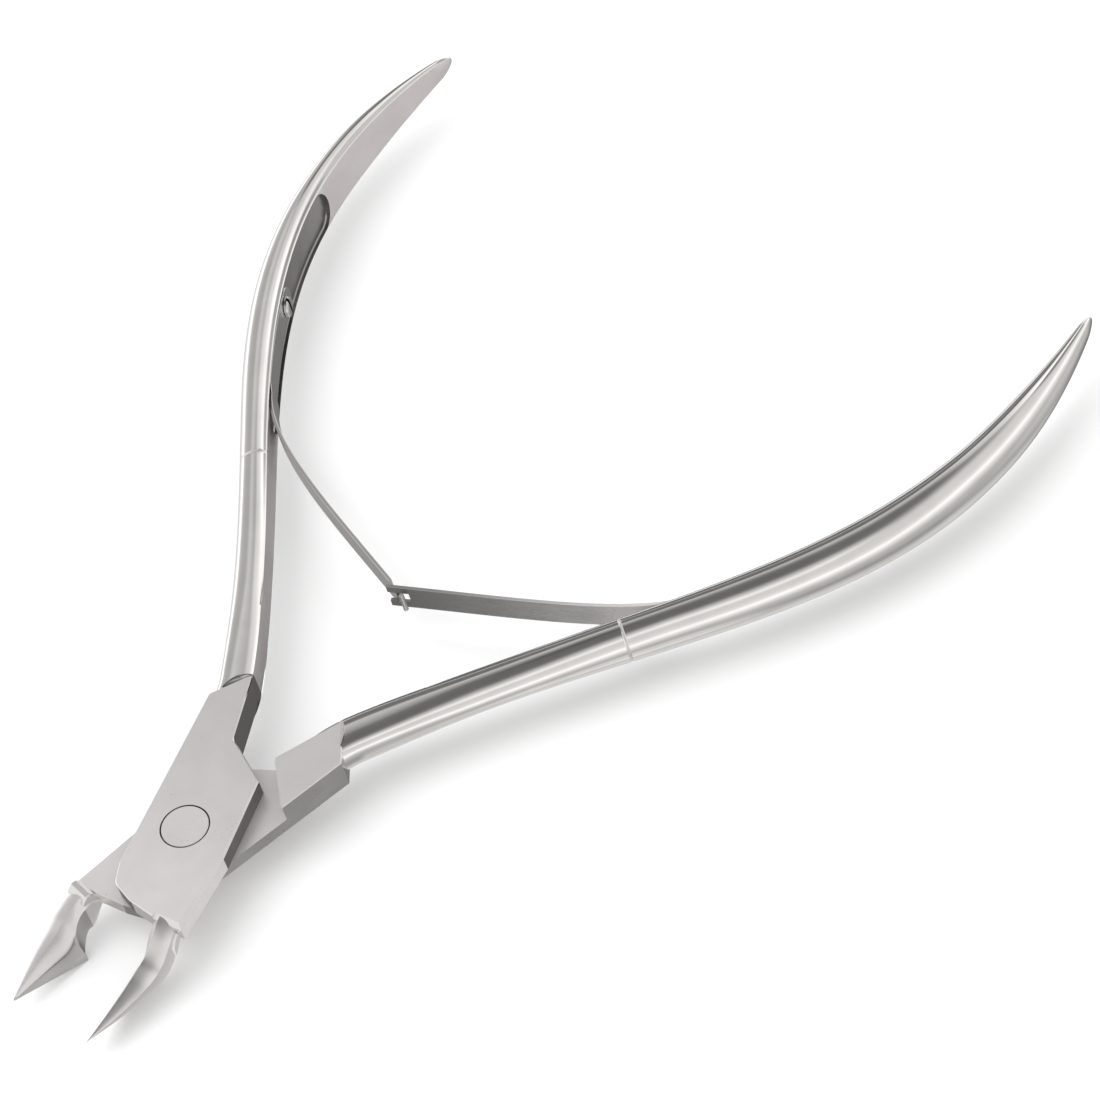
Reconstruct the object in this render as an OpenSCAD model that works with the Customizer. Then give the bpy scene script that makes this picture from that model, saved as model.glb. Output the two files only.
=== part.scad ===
// Spring-handled precision nipper: two forged arms crossing in a lap joint,
// a flush rivet, and two leaf springs that hook together between the handles.
// Frame: origin on the pivot axis at the joint's underside, +Y towards the
// handles, +Z up through the joint. The handles are drawn open, at rest.

/* [Joint] */
// Thickness of the whole joint
joint_t = 3.4; // [3:0.1:4]
// Thickness of the lower arm's half of the joint
lap_t = 1.5; // [1.3:0.1:1.9]
// Gap between the two halves of the joint
lap_gap = 0.03; // [0.02:0.01:0.06]
// Distance from the pivot to the upper arm's outer edge
upper_side = 4.4; // [4:0.1:5]
// Distance from the pivot to the lower arm's outer edge
lower_side = 5.1; // [4.5:0.1:5.5]
// Angle that each arm is turned from its closed position
half_open = 11.9; // [8:0.1:13]

/* [Rivet] */
// Diameter of the rivet's flush heads
rivet_d = 4.75; // [4:0.05:5]
// Diameter of the rivet's shank
rivet_shank_d = 3.2; // [2.8:0.1:3.6]
// Depth of each rivet head
rivet_head_t = 0.6; // [0.4:0.1:0.8]
// Radial clearance round the rivet
rivet_gap = 0.04; // [0.02:0.01:0.08]

/* [Handles] */
// Where the handle leaves the joint block, arms closed
shank_start = [4, 18];
// Control point that sets how straight the shank runs
shank_pull = [16.6, 52.2];
// Control point that sets how far the handle bows out
bow_pull = [35.4, 65.9];
// End of the handle, arms closed
handle_end = [20.7, 99.6];
// Depth of the milled spring seat in each inner face
seat_depth = 0.5; // [0.4:0.05:0.7]

/* [Jaws] */
// Distance from the pivot to the jaw tips
jaw_reach = 22.2; // [20:0.1:24]
// Length of each cutting edge
edge_l = 8.1; // [6:0.1:9]
// Width of one jaw at the heel of its edge
jaw_w = 3.55; // [3:0.05:4]
// How far the heel of the edge drops below the joint
heel_drop = 3.3; // [2:0.1:3.6]
// Half of the gap left between the closed edges
edge_gap = 0.04; // [0.02:0.01:0.06]

/* [Springs] */
// Thickness of a leaf spring
leaf_t = 0.35; // [0.3:0.05:0.45]
// Height of a leaf spring
leaf_h = 3; // [2.6:0.1:3.2]
// Distance from the pivot to the hooked ends
lock_y = 32.5; // [31:0.5:34]
// Diameter of a spring screw's head
screw_head_d = 2.2; // [1.8:0.1:2.4]

/* [Hidden] */
$fn = 64;

mid_z = joint_t / 2;
far_z = 20;                    // taller than anything it cuts
overlap = 0.5;                 // how far a cutter runs past the face it opens
slice_t = 0.02;                // thickness of a cross-section used in a hull
steel = [0.80, 0.79, 0.78];
spring_steel = [0.62, 0.62, 0.62];

// Sizes along a handle, from 0 at the joint block to 1 at the tip; below 0 it is
// buried in the block. A squareness of 2 is an ellipse, more is boxier.
depth_at = [[-1, 3.7], [0, 3.6], [0.15, 3.3], [0.3, 3.2], [0.45, 3.5],
            [0.6, 3.7], [0.75, 3.2], [0.88, 2.4], [0.97, 1.1], [1, 0.5]];
height_at = [[-1, 3.4], [0, 3.4], [0.15, 3.7], [0.3, 4.8], [0.45, 5.2],
             [0.6, 5.6], [0.75, 6.1], [0.88, 5.3], [0.97, 3.4], [1, 2.0]];
squareness_at = [[-1, 5], [0, 3.4], [0.12, 2.2], [1, 2]];
heading_step = 0.005;          // share of the handle used to measure its direction
block_start = [3.45, 12.6];    // where the handle is buried in the joint block
block_pull = [2.9, 15];        // control point between that place and shank_start

// Places along the handle, on the same 0 to 1 scale
screw_t = 0.545;               // the spring screw
leaf_root_t = 0.575;           // upper end of the spring
leave_t = 0.375;               // where the spring leaves the inner face
leave_step = 0.02;             // share of the handle that sets the leaving direction
seat_from = 0.33;              // lower end of the spring seat
seat_to = 0.745;               // upper end of the spring seat

seat_share = 0.74;             // seat height as a share of the handle's height
seat_lift = 0.02;              // gap between the seat's floor and the spring
leave_depth = 0.05;            // how deep the spring's middle lies as it leaves
leave_run = 6.5;               // how far the spring keeps its leaving direction
lock_pull = [11.8, 37.1];      // control point ahead of the hooked end
lock_end = [-0.9, lock_y - 0.35];
fork_h = 1.3;                  // height of the fork's slot
fork_end = 1.2;                // how far past the middle the slot reaches
tongue_h = 0.9;                // height of the tongue in the fork
tongue_end = 1;                // how far past the middle the tongue reaches
hook_box = 3;                  // half size of the boxes that cut the hooked ends
bar_d = 0.5;                   // cross-bar behind the fork
bar_l = 2.3;
bar_at = [-0.95, lock_y - 0.4];

screw_shank_d = 1.2;
screw_shank_l = 1.5;
screw_head_t = 0.5;
screw_head_lift = 0.04;        // gap between the spring and the screw's head
screw_gap = 0.04;              // radial clearance round the screw's shank
screw_slot_w = 0.4;            // width of the driver slot
screw_slot_floor = 0.25;       // metal left below the driver slot

throat = [0.8, 10.5];          // inner corner between the joint and its block
nose = [2.6, 17.2];            // inner corner where the handle leaves the block

rim_r = 9.7;                   // the other arm's half of the joint turns inside this
shoulder_y = 12;               // front of the shoulder behind the jaw
shoulder_x = [1.7, 4.4];       // inner and outer sides of the shoulder
heel_y = jaw_reach - edge_l;
narrowing = 1.3;               // how late the jaw narrows: 1 is evenly
tip_rise = 2.35;               // how far the edge climbs from heel to tip
crown_z = 0.9;                 // height of the jaw's ridge at the heel
crown_fall = 1.65;             // how far the ridge drops from heel to tip
crown_share = 0.56;            // place of the ridge across the jaw
bevel_h = 1.9;                 // height of the flat above the edge at the heel
rim_drop = 0.3;                // drop from the ridge to the outer side at the heel
side_h = 0.6;                  // height of the outer side at the heel
tip_t = 0.05;                  // least thickness of the jaw, met at its tip

// ---- curves ----
function cubic(a, b, c, d, t) =
    pow(1 - t, 3) * a + 3 * pow(1 - t, 2) * t * b + 3 * (1 - t) * t * t * c + pow(t, 3) * d;
function quadratic(a, b, c, t) = pow(1 - t, 2) * a + 2 * (1 - t) * t * b + t * t * c;
function unit(v) = v / norm(v);
function outward(v) = [v.y, -v.x];
function centre(t) = t < 0
    ? quadratic(block_start, block_pull, shank_start, 1 + t)
    : cubic(shank_start, shank_pull, bow_pull, handle_end, t);
function heading(t) =
    unit(centre(min(t + heading_step, 1)) - centre(min(t, 1 - heading_step)));
// Point on the handle's inner face, raised by lift
function face_point(t, lift) =
    centre(t) - outward(heading(t)) * (lookup(t, depth_at) / 2 + lift);
function turn(p, a) = [p.x * cos(a) - p.y * sin(a), p.x * sin(a) + p.y * cos(a)];

// ---- swept solids: rings of points joined into one closed skin ----
function ring_point(t, side, up) =
    let (p = centre(t) + outward(heading(t)) * side)
    [p.x, p.y, mid_z + up];
function bulge(c, n) = sign(c) * pow(abs(c), 2 / n);
function handle_ring(t, count) =
    let (w = lookup(t, depth_at), h = lookup(t, height_at), n = lookup(t, squareness_at))
    [for (i = [0 : count - 1])
        let (a = -90 + 180 * i / (count - 1))
        ring_point(t, w * (bulge(cos(a), n) - 0.5), h / 2 * bulge(sin(a), n))];
function seat_ring(t) =
    let (w = lookup(t, depth_at), h = lookup(t, height_at) * seat_share)
    [for (c = [[-1, -0.5], [seat_depth, -0.5], [seat_depth, 0.5], [-1, 0.5]])
        ring_point(t, c.x - w / 2, c.y * h)];

module skin(rings) {
    n = len(rings[0]);
    last = len(rings) - 1;
    sides = [for (r = [0 : last - 1], i = [0 : n - 1])
        [r * n + i, r * n + (i + 1) % n, (r + 1) * n + (i + 1) % n, (r + 1) * n + i]];
    quads_cut = [for (q = sides, half = [0, 1])
        half == 0 ? [q[0], q[1], q[2]] : [q[0], q[2], q[3]]];
    start_cap = [[for (i = [n - 1 : -1 : 0]) i]];
    end_cap = [[for (i = [0 : n - 1]) last * n + i]];
    polyhedron([for (r = rings) each r], concat(quads_cut, start_cap, end_cap), 6);
}

module handle() {
    stations = concat([-0.9, -0.6, -0.3], [for (i = [0 : 26]) i / 26]);
    difference() {
        skin([for (t = stations) handle_ring(t, 15)]);
        skin([for (i = [0 : 12]) seat_ring(seat_from + (seat_to - seat_from) * i / 12)]);
    }
}

// ---- joint and jaw, drawn closed with the handle on the +X side ----
// own is the outer edge on the arm's own side, far the edge on the other side
function block_front(own) = [own + 0.25, 7.6];
function block_back(own) = [own + 0.55, 14.4];

module lap_outline(own, far) {
    polygon([block_back(own), [own - 0.2, -5.6], [own - 0.9, -7.8], [1.2, -9.1],
             [-1.8, -10], [-far + 0.1, -10.2], [-far - 0.1, -2], [-far + 0.7, 6.8],
             [-1.1, 9.5], [0.3, 10.5], nose]);
}

module block_outline(own) {
    polygon([throat, block_front(own), block_back(own), nose]);
}

// The space that the other arm's half of the joint turns in
module sweep_outline(own) {
    difference() {
        union() {
            circle(r = rim_r);
            translate([-9, 0]) square([18, 10.6]);
        }
        polygon([throat, block_front(own), [far_z, block_front(own).y], [far_z, far_z],
                 [throat.x, far_z]]);
    }
}

module side_profile(points, x_from, x_to) {
    translate([x_from, 0, 0])
        rotate([90, 0, 90])
            linear_extrude(x_to - x_from) polygon(points);
}

// Cross-section of the blade, u = 0 at the heel and 1 at the tip
module blade_section(u) {
    out = jaw_w * (1 - pow(u, narrowing)) + 2 * tip_t;
    cut_z = tip_rise * u - heel_drop;
    ridge_z = crown_z - crown_fall * u;
    rim_z = ridge_z - rim_drop * (1 - u);
    translate([0, -heel_y - u * edge_l, 0])
        rotate([90, 0, 0])
            linear_extrude(slice_t)
                polygon([[-edge_gap, cut_z],
                         [-edge_gap - tip_t, cut_z + bevel_h * (1 - u) + tip_t],
                         [-crown_share * out - edge_gap, ridge_z],
                         [-out, rim_z],
                         [-out, rim_z - side_h * (1 - u) - tip_t]]);
}

// Cross-section of the neck that joins the blade to the shoulder
module neck_section() {
    inner = -shoulder_x[0];
    translate([0, -shoulder_y + 5 * slice_t, 0])
        rotate([90, 0, 0])
            linear_extrude(slice_t)
                polygon([[inner, -1.9], [inner, 1], [-2.6, 1.7], [-4, 1.1], [-3.9, 0.1],
                         [-2.4, -1.4]]);
}

module jaw() {
    hull() {
        neck_section();
        blade_section(0);
    }
    hull() {
        for (i = [0 : 6]) blade_section(i / 6);
    }
}

// Both shoulders end in the same front face
shoulder_front = [[-shoulder_y, 1.9], [-shoulder_y, -0.9]];

module lower_shoulder() {
    side_profile([[-9, 0], [-9, lap_t], [-10.1, lap_t], [-10.3, 2], each shoulder_front,
                  [-10, 0]], -shoulder_x[1], -shoulder_x[0]);
}

module upper_shoulder() {
    side_profile([[-9, lap_t + lap_gap], [-9, joint_t], [-10, joint_t - 0.1],
                  each shoulder_front, [-10, 0], [-10, lap_t + lap_gap]],
                 -shoulder_x[1], -shoulder_x[0]);
}

module slab(z_from, z_to) {
    translate([0, 0, z_from])
        linear_extrude(z_to - z_from) children();
}

module screw_bore() {
    at_screw() translate([0, 0, -screw_shank_l - seat_depth])
        cylinder(h = screw_shank_l + far_z / 5, d = screw_shank_d + 2 * screw_gap);
}

// Moves a shape drawn on +Z to stand on the seat at the spring screw
module at_screw() {
    p = face_point(screw_t, -seat_depth);
    d = -outward(heading(screw_t));
    translate([p.x, p.y, mid_z])
        rotate([0, 90, atan2(d.y, d.x)])
            children();
}

module lower_blank() {
    difference() {
        union() {
            handle();
            slab(0, joint_t) block_outline(lower_side);
            slab(0, lap_t) lap_outline(lower_side, upper_side + 0.1);
            lower_shoulder();
            jaw();
        }
        screw_bore();
        translate([0, 0, lap_t])
            linear_extrude(far_z) sweep_outline(lower_side);
        rivet_bore(0, lap_t, rivet_head_t, 0);
    }
}

module upper_blank() {
    difference() {
        union() {
            handle();
            slab(0, joint_t) block_outline(upper_side);
            slab(lap_t + lap_gap, joint_t) lap_outline(upper_side, lower_side + 0.1);
            upper_shoulder();
            jaw();
        }
        screw_bore();
        translate([0, 0, lap_t + lap_gap - far_z])
            linear_extrude(far_z) sweep_outline(upper_side);
        rivet_bore(lap_t, joint_t, 0, rivet_head_t);
    }
}

// Bore from z_from to z_to with a recess for a head at either end
module rivet_bore(z_from, z_to, low_head, high_head) {
    translate([0, 0, z_from - overlap])
        cylinder(h = z_to - z_from + 2 * overlap, r = rivet_shank_d / 2 + rivet_gap);
    if (low_head > 0)
        translate([0, 0, z_from - overlap])
            cylinder(h = overlap + low_head + rivet_gap, r = rivet_d / 2 + rivet_gap);
    if (high_head > 0)
        translate([0, 0, z_to - high_head - rivet_gap])
            cylinder(h = overlap + high_head + rivet_gap, r = rivet_d / 2 + rivet_gap);
}

// ---- springs, drawn open on the +X side ----
// Middle line of a leaf: a run along the seat, then a curve to the hooked end
function seat_path() =
    [for (i = [0 : 8])
        let (t = leaf_root_t + (leave_t - leaf_root_t) * i / 9)
        turn(face_point(t, leaf_t / 2 + seat_lift - seat_depth), -half_open)];
function free_path() =
    let (leave = turn(face_point(leave_t, -leave_depth), -half_open),
         behind = turn(face_point(leave_t + leave_step, -leave_depth), -half_open))
    [for (i = [0 : 14])
        cubic(leave, leave + unit(leave - behind) * leave_run, lock_pull, lock_end, i / 14)];
function side_of(path, i, d) =
    let (a = path[max(i - 1, 0)], b = path[min(i + 1, len(path) - 1)])
    path[i] + outward(unit(b - a)) * d;

module leaf_strip() {
    path = concat(seat_path(), free_path());
    last = len(path) - 1;
    translate([0, 0, mid_z - leaf_h / 2])
        linear_extrude(leaf_h)
            polygon(concat([for (i = [0 : last]) side_of(path, i, leaf_t / 2)],
                           [for (i = [last : -1 : 0]) side_of(path, i, -leaf_t / 2)]));
}

module leaf_hole() {
    rotate(-half_open) at_screw()
        translate([0, 0, -overlap])
            cylinder(h = leaf_t + 2 * overlap, d = screw_shank_d + 4 * screw_gap);
}

// ---- the named parts ----
module lower_arm() {
    color(steel) rotate(-half_open) lower_blank();
}

module upper_arm() {
    color(steel) mirror([1, 0, 0]) rotate(-half_open) upper_blank();
}

module pivot_rivet() {
    r = rivet_d / 2;
    s = rivet_shank_d / 2;
    color(steel)
        rotate_extrude()
            polygon([[0, 0], [r, 0], [r, rivet_head_t], [s, rivet_head_t],
                     [s, joint_t - rivet_head_t], [r, joint_t - rivet_head_t], [r, joint_t],
                     [0, joint_t]]);
}

// Ends in a fork that the other spring's tongue passes through
module lower_leaf_spring() {
    color(spring_steel)
        difference() {
            leaf_strip();
            leaf_hole();
            translate([-hook_box, lock_y - hook_box, mid_z - fork_h / 2])
                cube([hook_box + fork_end, 2 * hook_box, fork_h]);
        }
}

// Ends in a tongue with a cross-bar that keeps it in the fork
module upper_leaf_spring() {
    color(spring_steel)
        mirror([1, 0, 0]) {
            difference() {
                leaf_strip();
                leaf_hole();
                for (z = [mid_z + tongue_h / 2, mid_z - tongue_h / 2 - hook_box])
                    translate([-hook_box, lock_y - hook_box, z])
                        cube([hook_box + tongue_end, 2 * hook_box, hook_box]);
            }
            translate([bar_at.x, bar_at.y, mid_z - bar_l / 2])
                cylinder(h = bar_l, d = bar_d);
        }
}

module spring_screw() {
    head_z = leaf_t + screw_head_lift;
    at_screw()
        difference() {
            union() {
                translate([0, 0, head_z]) cylinder(h = screw_head_t, d = screw_head_d);
                translate([0, 0, -screw_shank_l])
                    cylinder(h = screw_shank_l + head_z, d = screw_shank_d);
            }
            translate([-screw_head_d, -screw_slot_w / 2, head_z + screw_slot_floor])
                cube([2 * screw_head_d, screw_slot_w, screw_head_t]);
        }
}

module lower_spring_screw() {
    color(steel) rotate(-half_open) spring_screw();
}

module upper_spring_screw() {
    color(steel) mirror([1, 0, 0]) rotate(-half_open) spring_screw();
}

lower_arm();
upper_arm();
pivot_rivet();
lower_leaf_spring();
upper_leaf_spring();
lower_spring_screw();
upper_spring_screw();
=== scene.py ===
"""Finished look of a spring-handled precision nipper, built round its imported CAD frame.

Shapes are drawn in millimetres, arms closed with the handle on the +X side, and are
then turned or mirrored into place. Everything placed in the scene is in metres.
"""
import bisect
import math

import bmesh
import bpy
import numpy as np
from mathutils import Matrix, Vector


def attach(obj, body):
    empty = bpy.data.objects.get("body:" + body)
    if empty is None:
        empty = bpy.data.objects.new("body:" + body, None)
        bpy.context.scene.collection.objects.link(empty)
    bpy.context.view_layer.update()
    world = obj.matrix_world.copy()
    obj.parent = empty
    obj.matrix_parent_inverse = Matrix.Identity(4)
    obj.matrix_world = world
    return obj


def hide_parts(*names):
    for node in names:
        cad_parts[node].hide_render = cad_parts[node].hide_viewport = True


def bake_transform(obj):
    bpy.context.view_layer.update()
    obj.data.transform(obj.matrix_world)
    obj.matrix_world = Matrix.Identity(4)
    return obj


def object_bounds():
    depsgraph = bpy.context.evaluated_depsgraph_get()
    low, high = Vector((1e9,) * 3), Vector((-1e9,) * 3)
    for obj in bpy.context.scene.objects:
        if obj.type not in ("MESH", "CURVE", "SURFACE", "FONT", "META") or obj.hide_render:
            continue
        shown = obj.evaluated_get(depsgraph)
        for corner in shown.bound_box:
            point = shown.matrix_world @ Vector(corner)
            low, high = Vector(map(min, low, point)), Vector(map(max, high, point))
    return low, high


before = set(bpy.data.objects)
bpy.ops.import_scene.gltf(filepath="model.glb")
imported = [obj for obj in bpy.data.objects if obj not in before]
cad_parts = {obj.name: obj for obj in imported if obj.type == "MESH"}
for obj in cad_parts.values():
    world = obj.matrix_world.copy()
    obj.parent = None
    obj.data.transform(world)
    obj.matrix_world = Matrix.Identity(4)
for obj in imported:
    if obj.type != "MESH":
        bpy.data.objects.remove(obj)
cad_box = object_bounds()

MM = 0.001

# ---- sizes shared with the CAD part, in millimetres and degrees ----
JOINT_T = 3.4
MID_Z = JOINT_T / 2
LAP_T = 1.5
LAP_GAP = 0.03
UPPER_SIDE = 4.4
LOWER_SIDE = 5.1
HALF_OPEN = 11.9
RIVET_D = 4.75
RIVET_SHANK_D = 3.2
RIVET_HEAD_T = 0.6
RIVET_GAP = 0.04
SHANK_START = (4, 18)
SHANK_PULL = (16.6, 52.2)
BOW_PULL = (35.4, 65.9)
HANDLE_END = (20.7, 99.6)
BLOCK_START = (3.45, 12.6)
BLOCK_PULL = (2.9, 15)
SEAT_DEPTH = 0.5
SEAT_FROM = 0.33
SEAT_TO = 0.748
SEAT_SHARE = 0.82
JAW_REACH = 22.2
EDGE_L = 8.1
HEEL_Y = JAW_REACH - EDGE_L
JAW_W = 3.55
HEEL_DROP = 3.3
TIP_RISE = 2.35
EDGE_GAP = 0.04
SHOULDER_Y = 12
SHOULDER_OUT = 4.4          # outer side of the collar behind the jaw
LEAF_T = 0.35
LEAF_H = 3.0
LOCK_Y = 32.5
SCREW_T = 0.545
LEAF_ROOT_T = 0.575
LEAVE_T = 0.375
LEAVE_DEPTH = 0.05          # how deep the spring's middle lies as it leaves
LEAVE_RUN = 6.5             # how far the spring keeps its leaving direction
LOCK_PULL = (11.8, 37.1)    # control point ahead of the hooked end
LOCK_END = (-0.9, LOCK_Y - 0.35)
FORK_H = 1.3                # height of the fork's slot
FORK_END = 1.2              # how far past the middle the slot reaches
TONGUE_H = 0.9              # height of the tongue in the fork
TONGUE_END = 1              # how far past the middle the tongue reaches
HOOK_BOX = 3                # half size of the boxes that cut the hooked ends
BAR_AT = (-0.95, LOCK_Y - 0.4)
BAR_L = 2.3                 # cross-bar behind the fork
BAR_R = 0.25
BAR_CHAMFER = 0.05
SCREW_HEAD_D = 2.2
SCREW_SHANK_D = 1.2
SCREW_SHANK_L = 1.5
SCREW_HEAD_T = 0.5
SCREW_GAP = 0.04            # radial clearance round the screw's shank
SCREW_LIFT = 0.04           # gap between the spring and the screw's head
SCREW_SLOT_W = 0.4          # width of the driver slot
SCREW_SLOT_FLOOR = 0.22     # metal left below the driver slot

# Sizes along a handle, from 0 at the joint block to 1 at the tip
DEPTH_AT = [(0, 3.65), (0.15, 3.35), (0.3, 3.25), (0.45, 3.55),
            (0.6, 3.66), (0.75, 3.15), (0.88, 2.35), (0.97, 1.1), (1, 0.6)]
HEIGHT_AT = [(0, 3.85), (0.15, 3.9), (0.3, 4.8), (0.45, 5.2),
             (0.6, 5.6), (0.75, 6.0), (0.88, 5.2), (0.97, 3.0), (1, 1.9)]
RING_T = 0.277            # place of the engraved ring
RING_DEPTH = 0.1          # depth of the engraved ring
RING_HALF = 0.0018        # half of the ring's width
TIP_ROUND_T = 0.98        # the tip is rounded from here to its end
SQUARE_UNTIL = 0.12       # the section is a little squarer up to here
NOSE_AT = (6, 14)         # the round shank grows out of the flat block beyond a slanted line
NOSE_NORMAL = (0.67, 0.74)
NOSE_L = 1.5              # length over which the nose swells
NOSE_SUNK = 0.04          # how far the buried shank stays below the block's top
NOSE_SWELL = 1.2          # how much higher the shank may stand once it is clear of the nose
CORNER = 0.12             # softened corner of the D section
CREST_SHARE = 0.36        # the oval is tallest at this share of its depth from the inner face


# ---- curves ----
def smooth_curve(table):
    """The value at t of a smooth curve through the table's points, level at its start."""
    x = [p[0] for p in table]
    y = [p[1] for p in table]
    slopes = np.gradient(y, x)
    slopes[0] = 0

    def value(t):
        i = min(max(bisect.bisect_left(x, t) - 1, 0), len(x) - 2)
        span = x[i + 1] - x[i]
        s = min(max((t - x[i]) / span, 0), 1)
        return ((1 + 2 * s) * (1 - s) ** 2 * y[i] + s * (1 - s) ** 2 * span * slopes[i]
                + s * s * (3 - 2 * s) * y[i + 1] + s * s * (s - 1) * span * slopes[i + 1])
    return value


depth_at = smooth_curve(DEPTH_AT)
height_at = smooth_curve(HEIGHT_AT)


def cubic(a, b, c, d, t):
    a, b, c, d = (np.array(p, float) for p in (a, b, c, d))
    return (1 - t) ** 3 * a + 3 * (1 - t) ** 2 * t * b + 3 * (1 - t) * t * t * c + t ** 3 * d


def quadratic(a, b, c, t):
    a, b, c = (np.array(p, float) for p in (a, b, c))
    return (1 - t) ** 2 * a + 2 * (1 - t) * t * b + t * t * c


def unit(v):
    return v / np.linalg.norm(v)


def outward(v):
    return np.array((v[1], -v[0]))


def centre(t):
    if t < 0:
        return quadratic(BLOCK_START, BLOCK_PULL, SHANK_START, 1 + t)
    return cubic(SHANK_START, SHANK_PULL, BOW_PULL, HANDLE_END, t)


def heading(t):
    return unit(centre(min(t + 0.005, 1)) - centre(min(t, 0.995)))


HANDLE_STEPS = np.linspace(0, 1, 401)
HANDLE_LINE = np.array([centre(s) for s in HANDLE_STEPS])


def face_point(t, lift):
    """Point on the handle's flat inner face, raised by lift."""
    return centre(t) - outward(heading(t)) * (depth_at(t) / 2 + lift)


def turned(p, degrees):
    a = math.radians(degrees)
    return np.array((p[0] * math.cos(a) - p[1] * math.sin(a),
                     p[0] * math.sin(a) + p[1] * math.cos(a)))


def ease(s):
    s = min(max(s, 0), 1)
    return s * s * (3 - 2 * s)


# ---- mesh helpers ----
BROAD_FACE = 1.2e-6          # square metres; larger faces are flat and keep crisp borders
FLAT_BEND = math.radians(1)


def new_object(name, bm):
    bmesh.ops.remove_doubles(bm, verts=bm.verts, dist=1e-5)
    bmesh.ops.recalc_face_normals(bm, faces=bm.faces)
    if bm.calc_volume(signed=True) < 0:
        bmesh.ops.reverse_faces(bm, faces=bm.faces)
    mesh = bpy.data.meshes.new(name)
    bm.to_mesh(mesh)
    bm.free()
    obj = bpy.data.objects.new(name, mesh)
    bpy.context.scene.collection.objects.link(obj)
    return obj


def loft(name, rings):
    """Closed solid through a list of rings that have the same number of points."""
    bm = bmesh.new()
    rows = [[bm.verts.new(p) for p in ring] for ring in rings]
    count = len(rows[0])
    for low, high in zip(rows, rows[1:]):
        for i in range(count):
            j = (i + 1) % count
            bm.faces.new((low[i], low[j], high[j], high[i]))
    bm.faces.new(list(reversed(rows[0])))
    bm.faces.new(rows[-1])
    return new_object(name, bm)


def inset(outline, widths):
    """An anticlockwise outline moved inwards, each corner by its own width."""
    points = np.array(outline, float)
    moved = []
    for i, p in enumerate(points):
        before = unit(p - points[i - 1])
        after = unit(points[(i + 1) % len(points)] - p)
        n_before = np.array((-before[1], before[0]))
        n_after = np.array((-after[1], after[0]))
        moved.append(p + (n_before + n_after) / (1 + n_before @ n_after) * widths[i])
    return moved


def anticlockwise(outline):
    x, y = np.array([p[:2] for p in outline], float).T
    area = np.sum(x * np.roll(y, -1) - y * np.roll(x, -1))
    return list(outline) if area > 0 else list(reversed(outline))


def plate(name, outline, z_from, z_to, low_edge=0.0, high_edge=0.0):
    """Upright prism with chamfers.

    An outline point may carry its own upper chamfer as a third value.
    """
    outline = anticlockwise(outline)
    flat = [p[:2] for p in outline]
    high = [p[2] if len(p) > 2 else high_edge for p in outline]
    rings = []
    if low_edge > 0:
        rings.append([(*p, z_from) for p in inset(flat, [low_edge] * len(flat))])
        rings.append([(*p, z_from + low_edge) for p in flat])
    else:
        rings.append([(*p, z_from) for p in flat])
    rings.append([(*p, z_to - w) for p, w in zip(flat, high)])
    if max(high) > 0:
        rings.append([(*p, z_to) for p in inset(flat, high)])
    return loft(name, rings)


def rounded(outline, radii, steps=5):
    """The outline with each corner rounded to its own radius."""
    points = [np.array(p[:2], float) for p in outline]
    made = []
    for i, p in enumerate(points):
        r = radii[i]
        if r <= 0:
            made.append(tuple(p))
            continue
        to_last = unit(points[i - 1] - p)
        to_next = unit(points[(i + 1) % len(points)] - p)
        half = math.acos(np.clip(to_last @ to_next, -1, 1)) / 2
        reach = r / math.tan(half)
        for k in range(steps + 1):
            made.append(tuple(quadratic(p + to_last * reach, p, p + to_next * reach, k / steps)))
    return made


def lathe(name, profile, steps=64):
    """Solid turned round Z from (radius, z) pairs that start and end on the axis."""
    bm = bmesh.new()
    rows = []
    for r, z in profile:
        if r == 0:
            rows.append([bm.verts.new((0, 0, z))])
            continue
        angles = [2 * math.pi * k / steps for k in range(steps)]
        rows.append([bm.verts.new((r * math.cos(a), r * math.sin(a), z)) for a in angles])
    for low, high in zip(rows, rows[1:]):
        for k in range(steps):
            j = (k + 1) % steps
            ring = [low[k % len(low)], low[j % len(low)], high[j % len(high)], high[k % len(high)]]
            bm.faces.new(list(dict.fromkeys(ring)))
    return new_object(name, bm)


def boolean(base, other, operation):
    modifier = base.modifiers.new(operation, "BOOLEAN")
    modifier.operation = operation
    modifier.solver = "MANIFOLD"
    modifier.object = other
    graph = bpy.context.evaluated_depsgraph_get()
    made = bpy.data.meshes.new_from_object(base.evaluated_get(graph))
    made.materials.clear()
    base.modifiers.clear()
    base.data = made
    bpy.data.objects.remove(other)
    return base


def join(base, *others):
    for other in others:
        boolean(base, other, "UNION")
    return base


def cut(base, *others):
    for other in others:
        boolean(base, other, "DIFFERENCE")
    return base


def reshape(obj, move, mirrored=False):
    """Moves every vertex by the function move."""
    bm = bmesh.new()
    bm.from_mesh(obj.data)
    for v in bm.verts:
        v.co = move(v.co)
    if mirrored:
        bmesh.ops.reverse_faces(bm, faces=bm.faces)
    bm.to_mesh(obj.data)
    bm.free()


def place(obj, side, opened=True):
    """Turns a shape drawn closed on +X to its open place; side is 1 for +X and -1 for -X."""
    def move(co):
        p = turned(co[:2], -HALF_OPEN) if opened else co[:2]
        return Vector((side * p[0], p[1], co[2])) * MM
    reshape(obj, move, side < 0)
    return obj


def shade(obj, degrees=28):
    """Smooth shading that breaks at edges sharper than the angle and round broad flat faces."""
    bm = bmesh.new()
    bm.from_mesh(obj.data)
    limit = math.radians(degrees)
    for face in bm.faces:
        face.smooth = True
    for edge in bm.edges:
        bend = edge.calc_face_angle(0)
        broad = max(face.calc_area() for face in edge.link_faces) > BROAD_FACE
        edge.smooth = bend < (FLAT_BEND if broad else limit)
    bm.to_mesh(obj.data)
    bm.free()


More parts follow.
